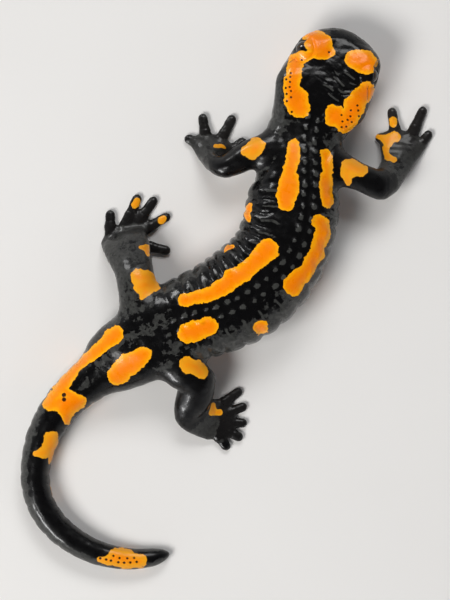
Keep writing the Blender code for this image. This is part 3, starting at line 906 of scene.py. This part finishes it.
# On the legs: x, y, half width
LEG_MARKS = {
    "left_arm": ((4.5, 38.5, 1.0), (6.5, 38.5, 2.1), (7.5, 39.5, 2.4)),
    "left_hand": ((-3.0, 40.0, 0.6), (-1.5, 40.0, 0.5), (-0.5, 39.5, 0.3)),
    "right_arm": ((32.0, 34.0, 2.4), (35.0, 33.5, 1.7)),
    "right_arm_low": ((31.0, 32.5, 1.3), (31.5, 30.5, 0.9)),
    "right_finger": ((43.5, 46.5, 1.2), (43.5, 46.0, 1.1)),
    "right_thumb": ((39.5, 42.5, 0.7), (41.5, 41.5, 1.2), (42.0, 40.5, 0.9)),
    "right_knuckle": ((42.0, 41.5, 1.3), (44.0, 42.5, 1.4)),
    "right_wrist": ((41.5, 39.5, 0.8), (41.5, 38.0, 0.7), (42.0, 37.0, 0.9), (43.5, 36.5, 0.8)),
    "left_shank": ((-23.0, 6.0, 2.0), (-20.5, 5.5, 1.9)),
    "left_shank_middle": ((-22.0, 3.5, 2.3), (-19.5, 3.5, 2.0)),
    "left_shank_low": ((-21.0, 2.0, 1.6), (-22.0, 0.5, 0.6)),
    "left_ankle": ((-22.5, 13.5, 0.5), (-21.0, 13.5, 0.9), (-20.5, 11.5, 0.4)),
    "left_toe": ((-17.0, 20.5, 1.0), (-16.5, 21.0, 0.9)),
    "left_long_toe": ((-23.5, 25.5, 0.9), (-24.0, 24.5, 0.9)),
    "right_thigh": ((-10.0, -17.0, 2.2), (-8.0, -17.5, 1.9), (-6.5, -19.0, 1.6)),
    "right_foot": ((-3.5, -27.5, 0.5), (-3.5, -29.0, 1.1)),
    "right_foot_low": ((-4.0, -29.5, 0.8), (-2.0, -29.5, 0.7)),
}

# Out of sight from above: along the spine, degrees round the section, half width
LOW_MARKS = {
    "left_lip": ((5.0, -22, 1.0), (9.0, -26, 1.3)),
    "right_lip": ((4.0, 203, 1.1), (8.5, 208, 1.2), (11.0, 206, 0.8)),
    "left_jaw": ((15.0, -30, 1.7), (18.5, -22, 1.4)),
    "right_jaw": ((15.5, 212, 1.6), (19.0, 205, 1.9)),
    "throat": ((17.5, -98, 1.8), (21.0, -82, 2.2), (22.0, -70, 1.2)),
    "chin": ((7.0, -80, 1.3), (9.0, -92, 1.0)),
    "left_side_1": ((46.0, -24, 1.5), (49.5, -18, 1.9)),
    "left_side_2": ((59.0, -22, 1.2), (62.5, -28, 1.8), (64.0, -40, 0.9)),
    "left_side_3": ((80.0, -20, 2.0), (84.5, -26, 1.3)),
    "right_side_1": ((44.5, 200, 1.3), (48.0, 208, 1.7)),
    "right_side_2": ((62.0, 205, 1.8), (65.5, 199, 1.2)),
    "right_side_3": ((84.0, 206, 1.4), (88.0, 200, 1.9)),
    "belly_1": ((55.0, -70, 1.0), (56.5, -66, 1.3)),
    "belly_2": ((69.0, -112, 1.5),),
    "belly_3": ((83.0, -84, 1.1), (85.0, -90, 0.8)),
    "left_tail_side": ((119.0, -14, 1.3), (122.5, -20, 1.6)),
    "right_tail_side": ((122.0, 196, 1.2), (126.0, 190, 1.7)),
    "tail_side": ((155.0, 188, 1.2), (159.0, 196, 0.9)),
}
HEAD_DROP, BACK_DROP, LEG_DROP = 2.7, 4.2, 2.2  # how far down a stroke runs on past its edge
FULL_STROKE = 1.7  # the half width below which a stroke's edge is less and less ragged
RAY_FROM = 60.0  # above the whole animal
MISSED_HEIGHT = 6.0  # of a stroke's place that has no skin under it
MARKS_END = 6.0  # the longest distance to a marking that is told apart


def stroke_distance(p, places, drop):
    """How far each point is outside a stroke, whose places are x, y, z, half width."""
    nearest = np.full(len(p), FAR)
    chain = [*places, places[-1]] if len(places) == 1 else places
    for a, b in zip(chain, chain[1:]):
        way = np.array(b[:3]) - np.array(a[:3])
        level = way * (1, 1, 0 if drop else 1)
        share = np.clip((p - a[:3]) @ level / max(level @ level, 1e-9), 0, 1)
        gap = p - a[:3] - share[:, None] * way
        gap[:, 2] = np.sign(gap[:, 2]) * np.maximum(np.abs(gap[:, 2]) - drop, 0)
        half = a[3] + share * (b[3] - a[3])
        steep = FULL_STROKE / np.clip(half, 0.5, FULL_STROKE)
        nearest = np.minimum(nearest, (np.linalg.norm(gap, axis=1) - half) * steep)
    return nearest


def marking_distance(p, tree):
    """How far each point of the skin is outside the nearest orange marking."""

    def laid(x, y, half):
        hit = tree.ray_cast(Vector((x, y, RAY_FROM)), Vector((0.0, 0.0, -1.0)))[0]
        return (x, y, hit.z if hit else MISSED_HEIGHT, half)

    strokes = []
    for places in BACK_MARKS.values():
        found = []
        for s, out, half in places:
            x, y, _ = body_place(s, out, 0.0)
            found.append(laid(x, y, half))
        strokes.append((found, HEAD_DROP if places[0][0] < 25 else BACK_DROP))
    for places in LEG_MARKS.values():
        strokes.append(([laid(*place) for place in places], LEG_DROP))
    for places in LOW_MARKS.values():
        found = []
        for s, angle, half in places:
            section = body_section(np.array(s))
            wide, level, above, below, square = (value.item() for value in section)
            turn = radians(angle)
            reach = above if sin(turn) > 0 else below
            out = signed_power(cos(turn), 2 / square) * wide
            rise = signed_power(sin(turn), 2 / square) * reach
            found.append((*body_place(s, out, level + rise), half))
        strokes.append((found, 0.0))
    total = np.full(len(p), MARKS_END)
    for places, drop in strokes:
        total = smooth_min(total, stroke_distance(p, places, drop), 0.5)
    for side in (1, -1):  # the lids' edges are black
        total = np.maximum(total, 3 * (LID_THICKNESS * 0.8 - outside_eye(p, side)))
    return total


# ---- Meshes
def mesh_object(name, points, faces, material):
    mesh = bpy.data.meshes.new(name)
    mesh.from_pydata((points * MM).tolist(), [], [tuple(face) for face in faces])
    mesh.update()
    mesh.polygons.foreach_set("use_smooth", [True] * len(mesh.polygons))
    mesh.materials.append(material)
    made = bpy.data.objects.new(name, mesh)
    bpy.context.scene.collection.objects.link(made)
    return made


def set_values(made, name, values):
    layer = made.data.attributes.new(name, "FLOAT", "POINT")
    layer.data.foreach_set("value", np.asarray(values, dtype=np.float32))


def refined(points, faces, chosen):
    """The mesh with each face halved both ways where its points are chosen, in triangles."""
    work = bmesh.new()
    verts = [work.verts.new(point) for point in points]
    for face in faces:
        work.faces.new([verts[i] for i in face])
    work.verts.index_update()
    edges = [e for e in work.edges if chosen[e.verts[0].index] and chosen[e.verts[1].index]]
    bmesh.ops.subdivide_edges(work, edges=edges, cuts=1, use_grid_fill=True)
    bmesh.ops.triangulate(work, faces=work.faces[:])
    work.verts.index_update()
    points = np.array([vert.co[:] for vert in work.verts])
    faces = np.array([[vert.index for vert in face.verts] for face in work.faces])
    work.free()
    return points, faces


def fine_places(p):
    """Where the skin needs its smallest faces: the head, the hands and feet, and the stretches of the
    tail with pores.
    """
    s, out = on_spine(p)
    distance, _ = body_distance(p, s, out)
    on_body = np.abs(distance) < 1.0
    chosen = on_body & ((s < 27) | ((s > 127.5) & (s < 130.5)) | ((s > 178) & (s < 190.5)))
    for leg in LEGS:
        palm = np.array(LEGS[leg]["joints"][-1][:2])
        reach = max(np.linalg.norm(np.array(tip) - palm) for _, tip in LEGS[leg]["toes"]) + 2.0
        chosen |= (np.linalg.norm(p[:, :2] - palm, axis=1) < reach) & (p[:, 2] < 5.5) & ~on_body
    return chosen


SKIN_STEP, QUICK_STEP = 0.575, 0.8  # between neighbours in the skin's grid
SKIN_LOW, SKIN_SPANS = (-56.0, -74.0, -1.0), (112.0, 148.0, 23.0)  # the grid's corner and size
COARSE = 4  # how many steps there are in a coarse block of the grid


def skin_points():
    """The skin before its relief, with even faces that are smaller where fine_places says."""
    step = SKIN_STEP
    low = np.array(SKIN_LOW)
    counts = [int(np.ceil(span / step / COARSE)) * COARSE for span in SKIN_SPANS]
    points, faces = surface_net(sampled_field(low, step, counts, COARSE), low, step)
    points = settle(points, 2)
    points = settle(relaxed(points, faces, 0.6), 2)
    points, faces = refined(points, faces, fine_places(points))
    points = settle(relaxed(points, faces, 0.3), 1)
    points = settle(relaxed(points, faces, 0.4), 1)
    return points, faces


def make_skin(material):
    points, faces = skin_points()
    tree = BVHTree.FromPolygons(points.tolist(), faces.tolist())
    found = relief(points)
    found["marking"] = marking_distance(points, tree)
    points = points + unit(gradient(skin_distance, points)) * found.pop("rise")[:, None]
    points[:, 2] = np.maximum(points[:, 2], 0.0)
    skin = mesh_object("skin", points, faces, material)
    for name, values in found.items():
        set_values(skin, name, values)
    return skin


def make_eye(side, name, material):
    """A ball with a cornea standing out of it; its material knows the angle from the gaze."""
    centre, look, along, up = eye_frame(side)
    rings, spokes = 48, 64
    points, angles = [centre + look * EYE_RADIUS * 1.05], [0.0]
    for i in range(1, rings):
        angle = pi * i / rings
        reach = EYE_RADIUS * (1 + 0.05 * smooth_step(0.75, 0.25, angle))
        for k in range(spokes):
            turn = 2 * pi * k / spokes
            way = look * cos(angle) + (along * cos(turn) + up * sin(turn)) * sin(angle)
            points.append(centre + way * reach)
            angles.append(angle)
    points.append(centre - look * EYE_RADIUS)
    angles.append(pi)
    faces = [(0, 1 + k, 1 + (k + 1) % spokes) for k in range(spokes)]
    for i in range(rings - 2):
        a = 1 + i * spokes
        for k in range(spokes):
            j = (k + 1) % spokes
            faces.append((a + k, a + spokes + k, a + spokes + j, a + j))
    a = 1 + (rings - 2) * spokes
    faces += [(len(points) - 1, a + (k + 1) % spokes, a + k) for k in range(spokes)]
    if np.dot(np.cross(along, up), look) < 0:
        faces = [face[::-1] for face in faces]
    eye = mesh_object(name, np.array(points), faces, material)
    set_values(eye, "from_gaze", angles)
    return eye


# ---- Materials
class Nodes:
    """A material's nodes, made by short calls."""

    def __init__(self, name):
        self.material = bpy.data.materials.new(name)
        self.material.use_nodes = True
        self.tree = self.material.node_tree
        self.tree.nodes.clear()
        self.shader = self.make("ShaderNodeBsdfPrincipled")
        output = self.make("ShaderNodeOutputMaterial")
        self.link(self.shader.outputs[0], output.inputs["Surface"])

    def make(self, kind, **settings):
        node = self.tree.nodes.new(kind)
        for key, value in settings.items():
            setattr(node, key, value)
        return node

    def link(self, source, target):
        self.tree.links.new(source, target)

    def put(self, value, socket):
        if isinstance(value, bpy.types.NodeSocket):
            self.link(value, socket)
        else:
            socket.default_value = value

    def attribute(self, name):
        return self.make("ShaderNodeAttribute", attribute_name=name).outputs["Fac"]

    def place(self):
        return self.make("ShaderNodeTexCoord").outputs["Object"]

    def math(self, operation, a, b=0.0, c=0.0):
        node = self.make("ShaderNodeMath", operation=operation)
        for value, socket in zip((a, b, c), node.inputs):
            self.put(value, socket)
        return node.outputs[0]

    def noise(self, size, detail=2.0, rough=0.5):
        """Noise between 0 and 1 with waves about size millimetres long."""
        node = self.make("ShaderNodeTexNoise")
        self.link(self.place(), node.inputs["Vector"])
        node.inputs["Scale"].default_value = 1 / (size * MM)
        node.inputs["Detail"].default_value = detail
        node.inputs["Roughness"].default_value = rough
        return node.outputs["Fac"]

    def cells(self, size):
        """Rounded cells about size millimetres across, 0 in the middle of each."""
        node = self.make("ShaderNodeTexVoronoi", feature="SMOOTH_F1")
        self.link(self.place(), node.inputs["Vector"])
        node.inputs["Scale"].default_value = 1 / (size * MM)
        return node.outputs["Distance"]

    def ranged(self, value, low, high, to_low=0.0, to_high=1.0):
        node = self.make("ShaderNodeMapRange", interpolation_type="SMOOTHSTEP")
        for number, socket in zip((value, low, high, to_low, to_high), node.inputs):
            self.put(number, socket)
        return node.outputs[0]

    def mix(self, share, a, b):
        node = self.make("ShaderNodeMix", data_type="RGBA")
        self.put(share, node.inputs["Factor"])
        self.put(a, node.inputs[6])
        self.put(b, node.inputs[7])
        return node.outputs[2]

    def ramp(self, value, stops):
        node = self.make("ShaderNodeValToRGB")
        self.link(value, node.inputs["Fac"])
        marks = node.color_ramp.elements
        while len(marks) < len(stops):
            marks.new(0.5)
        for mark, (at, colour) in zip(marks, stops):
            mark.position = at
            mark.color = colour
        return node.outputs["Color"]

    def bump(self, height, depth, after=None):
        """A bump whose height from 0 to 1 is depth millimetres."""
        node = self.make("ShaderNodeBump")
        node.inputs["Distance"].default_value = depth * MM
        self.link(height, node.inputs["Height"])
        if after is not None:
            self.link(after, node.inputs["Normal"])
        return node.outputs[0]


DEEP_ORANGE = (0.96, 0.225, 0.0, 1)
ORANGE = (0.97, 0.28, 0.0, 1)
YOLK = (1.0, 0.42, 0.002, 1)
GOLD = (0.86, 0.36, 0.012, 1)
RIM_BROWN = (0.09, 0.02, 0.002, 1)
# Dark brown of the pores, also used as shade painted into the lips' groove and the crease behind each
# eye
PORE_AND_SHADE_BROWN = (0.035, 0.007, 0.001, 1)
BLACK = (0.0012, 0.0012, 0.0014, 1)
SOFT_BLACK = (0.0036, 0.0034, 0.0036, 1)
# Greys painted on the black skin as highlight
SHEEN_GREY = (0.046, 0.047, 0.044, 1)
DIM_SHEEN_GREY = (0.028, 0.028, 0.027, 1)
BELLY_GREY = (0.022, 0.020, 0.019, 1)


def skin_finish():
    """Wet black skin with ragged yolk-orange markings, dark pores, a fine grain, painted grey
    highlights and shade painted into the lips' groove and the eye creases.
    """
    n = Nodes("salamander_skin")
    ragged = n.math("MULTIPLY_ADD", n.noise(2.6, 2.0), 1.9, -0.95)
    ragged = n.math("MULTIPLY_ADD", n.noise(0.9, 1.0), 0.6, n.math("ADD", ragged, -0.3))
    edge = n.math("ADD", n.attribute("marking"), ragged)
    depth = n.ranged(edge, -3.0, 1.0)
    depth.node.interpolation_type = "LINEAR"

    # Colour from deep inside a marking, through its yolk-yellow edge, out to the black
    marked = n.ramp(
        depth,
        (
            (0.20, DEEP_ORANGE),
            (0.48, ORANGE),
            (0.69, YOLK),
            (0.735, YOLK),
            (0.752, RIM_BROWN),
            (0.775, BLACK),
        ),
    )
    black = n.mix(n.noise(3.0, 4.0), BLACK, SOFT_BLACK)
    # Painted highlight: the black turns grey up the sides and on the lower legs
    sides = n.math("MULTIPLY_ADD", n.noise(2.6, 5.0, 0.6), 1.3, n.attribute("painted_sheen"))
    grey = n.mix(n.ranged(n.noise(0.9, 3.0), 0.35, 0.65), DIM_SHEEN_GREY, SHEEN_GREY)
    black = n.mix(n.ranged(sides, 0.56, 0.66), black, grey)
    # Painted highlight: grey patches on the hips and the tail's root
    flecks = n.math("MULTIPLY_ADD", n.attribute("fleck"), 0.42, n.noise(1.7, 4.0, 0.6))
    black = n.mix(n.ranged(flecks, 0.83, 0.87), black, grey)
    # Painted highlight: grey on fold crests, glands and the crown's ridges
    glint_traces = n.math("MULTIPLY_ADD", n.noise(1.1, 3.0), 0.7, n.attribute("painted_glints"))
    black = n.mix(n.ranged(glint_traces, 0.75, 1.05), black, SHEEN_GREY)
    black = n.mix(n.attribute("under"), black, BELLY_GREY)
    in_marking = n.ranged(edge, 0.10, -0.06)
    golden = n.math("MULTIPLY", n.attribute("gold"), n.ranged(depth, 0.1, 0.7, 0.3, 0.9))
    marked = n.mix(golden, marked, GOLD)
    colour = n.mix(in_marking, black, marked)
    # Dark pores, and shade painted into the lips' groove and the crease behind each eye
    colour = n.mix(n.ranged(n.attribute("dark"), 0.08, -0.06), colour, PORE_AND_SHADE_BROWN)
    n.link(colour, n.shader.inputs["Base Color"])

    rough = n.ranged(n.noise(1.6, 3.0), 0.3, 0.7, 0.19, 0.29)
    rough = n.math("MULTIPLY_ADD", in_marking, 0.06, rough)
    rough = n.math("MULTIPLY_ADD", n.attribute("gold"), 0.07, rough)
    n.link(rough, n.shader.inputs["Roughness"])
    n.shader.inputs["Coat Weight"].default_value = 0.15
    n.shader.inputs["Coat Roughness"].default_value = 0.08
    n.shader.inputs["Specular IOR Level"].default_value = 0.2

    grain = n.bump(n.cells(0.5), 0.010)
    grain = n.bump(n.noise(0.9, 3.0, 0.5), 0.016, grain)
    n.link(grain, n.shader.inputs["Normal"])
    return n.material


def eye_finish():
    """A nearly black eye: pupil, dark brown iris with a few gold flecks, wet cornea."""
    n = Nodes("salamander_eye")
    angle = n.attribute("from_gaze")
    angle = n.math("ADD", angle, n.math("MULTIPLY_ADD", n.noise(0.5, 2.0), 0.08, -0.04))
    share = n.math("DIVIDE", angle, 1.6)
    colour = n.ramp(
        share,
        (
            (0.25, (0.001, 0.001, 0.001, 1)),
            (0.27, (0.085, 0.040, 0.008, 1)),
            (0.30, (0.026, 0.012, 0.004, 1)),
            (0.50, (0.012, 0.006, 0.003, 1)),
            (0.62, (0.003, 0.002, 0.002, 1)),
        ),
    )
    fleck = n.ranged(n.noise(0.22, 3.0), 0.58, 0.75)
    ring = n.math("MULTIPLY", n.ranged(share, 0.26, 0.32), n.ranged(share, 0.55, 0.38))
    colour = n.mix(n.math("MULTIPLY", fleck, ring), colour, (0.16, 0.08, 0.018, 1))
    n.link(colour, n.shader.inputs["Base Color"])
    n.shader.inputs["Roughness"].default_value = 0.12
    n.shader.inputs["Specular IOR Level"].default_value = 0.2
    n.shader.inputs["Coat Weight"].default_value = 0.6
    n.shader.inputs["Coat Roughness"].default_value = 0.02
    return n.material


def floor_finish():
    n = Nodes("studio_floor")
    n.link(
        n.mix(n.noise(60.0, 3.0), (0.78, 0.77, 0.755, 1), (0.82, 0.81, 0.80, 1)),
        n.shader.inputs["Base Color"],
    )
    n.shader.inputs["Roughness"].default_value = 0.75
    n.shader.inputs["Specular IOR Level"].default_value = 0.25
    return n.material


# ---- Studio
PICTURE_CENTRE = (-0.47, -0.18)  # what the camera looks straight down on, in millimetres
PICTURE_HEIGHT = 156.0  # how much of it the frame takes in, at the back's own level
PICTURE_LEVEL = 8.0
CAMERA_AWAY = 2000.0
SENSOR_HEIGHT = 24.0
FLOOR_REACH = 3.0  # metres


def add_camera():
    camera = bpy.data.objects.new("camera", bpy.data.cameras.new("camera"))
    camera.data.sensor_fit = "VERTICAL"
    camera.data.sensor_height = SENSOR_HEIGHT
    camera.data.lens = SENSOR_HEIGHT * CAMERA_AWAY / PICTURE_HEIGHT
    camera.data.clip_start, camera.data.clip_end = 0.05, 20.0
    camera.location = (*(v * MM for v in PICTURE_CENTRE), (CAMERA_AWAY + PICTURE_LEVEL) * MM)
    bpy.context.scene.collection.objects.link(camera)
    bpy.context.scene.camera = camera


def add_light(name, azimuth, elevation, away, size, power, tint=(1, 1, 1), gives="both"):
    """A soft box that looks at the model's middle; azimuth 0 is towards the picture's right."""
    data = bpy.data.lights.new(name, "AREA")
    data.shape, data.energy, data.color = "RECTANGLE", power, tint
    data.size, data.size_y = size
    light = bpy.data.objects.new(name, data)
    turn, rise = radians(azimuth), radians(elevation)
    light.location = Vector((cos(turn) * cos(rise), sin(turn) * cos(rise), sin(rise))) * away
    light.rotation_euler = (-light.location).to_track_quat("-Z", "Y").to_euler()
    light.visible_diffuse = gives != "glossy"
    light.visible_glossy = gives != "diffuse"
    bpy.context.scene.collection.objects.link(light)


def add_studio():
    scene = bpy.context.scene
    scene.view_settings.view_transform = "Standard"
    world = bpy.data.worlds.new("studio")
    scene.world = world
    world.use_nodes = True
    nodes, links = world.node_tree.nodes, world.node_tree.links
    nodes.clear()
    # A bright band low round the room and a dark ceiling, so that the back stays black
    place = nodes.new("ShaderNodeTexCoord")
    split = nodes.new("ShaderNodeSeparateXYZ")
    ramp = nodes.new("ShaderNodeValToRGB")
    ground = nodes.new("ShaderNodeBackground")
    output = nodes.new("ShaderNodeOutputWorld")
    links.new(place.outputs["Generated"], split.inputs[0])
    links.new(split.outputs["Z"], ramp.inputs["Fac"])
    marks = ramp.color_ramp.elements
    marks[0].position, marks[0].color = 0.12, (0.60, 0.61, 0.63, 1)
    marks[1].position, marks[1].color = 0.5, (0.06, 0.06, 0.064, 1)
    links.new(ramp.outputs["Color"], ground.inputs["Color"])
    ground.inputs["Strength"].default_value = 1.0
    links.new(ground.outputs[0], output.inputs["Surface"])

    add_light("key_light", 216, 50, 0.9, (0.45, 0.36), 6.2, (1.0, 0.985, 0.96), gives="diffuse")
    add_light("far_light", 84, 46, 0.9, (0.5, 0.3), 3.4)
    add_light("side_light", 330, 34, 1.0, (0.5, 0.4), 0.6, gives="diffuse")
    add_light("key_gloss", 216, 46, 1.0, (0.22, 0.16), 1.5, gives="glossy")
    add_light("tail_gloss", 224, 22, 1.0, (0.42, 0.15), 8.0, gives="glossy")
    add_light("flank_gloss", 128, 26, 1.0, (0.30, 0.14), 2.2, gives="glossy")

    mesh = bpy.data.meshes.new("floor")
    corners = [(x * FLOOR_REACH, y * FLOOR_REACH, 0) for x, y in ((-1, -1), (1, -1), (1, 1), (-1, 1))]
    mesh.from_pydata(corners, [], [(0, 1, 2, 3)])
    mesh.materials.append(floor_finish())
    floor = bpy.data.objects.new("floor", mesh)
    scene.collection.objects.link(floor)


# ---- The model
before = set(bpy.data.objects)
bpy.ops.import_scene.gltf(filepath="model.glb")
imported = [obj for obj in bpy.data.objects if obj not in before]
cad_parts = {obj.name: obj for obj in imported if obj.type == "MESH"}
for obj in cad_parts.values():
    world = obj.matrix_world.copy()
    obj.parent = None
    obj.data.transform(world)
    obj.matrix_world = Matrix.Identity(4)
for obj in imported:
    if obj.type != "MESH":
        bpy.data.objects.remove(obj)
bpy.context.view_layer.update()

EYES = {"eye_left": 1, "eye_right": -1}

add_camera()
add_studio()
skin = make_skin(skin_finish())
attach(skin, "root")
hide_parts(*[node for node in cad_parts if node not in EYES])
iris = eye_finish()
for node, side in EYES.items():
    eye = make_eye(side, node.replace("eye", "eyeball"), iris)
    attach(eye, "root")
    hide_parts(node)
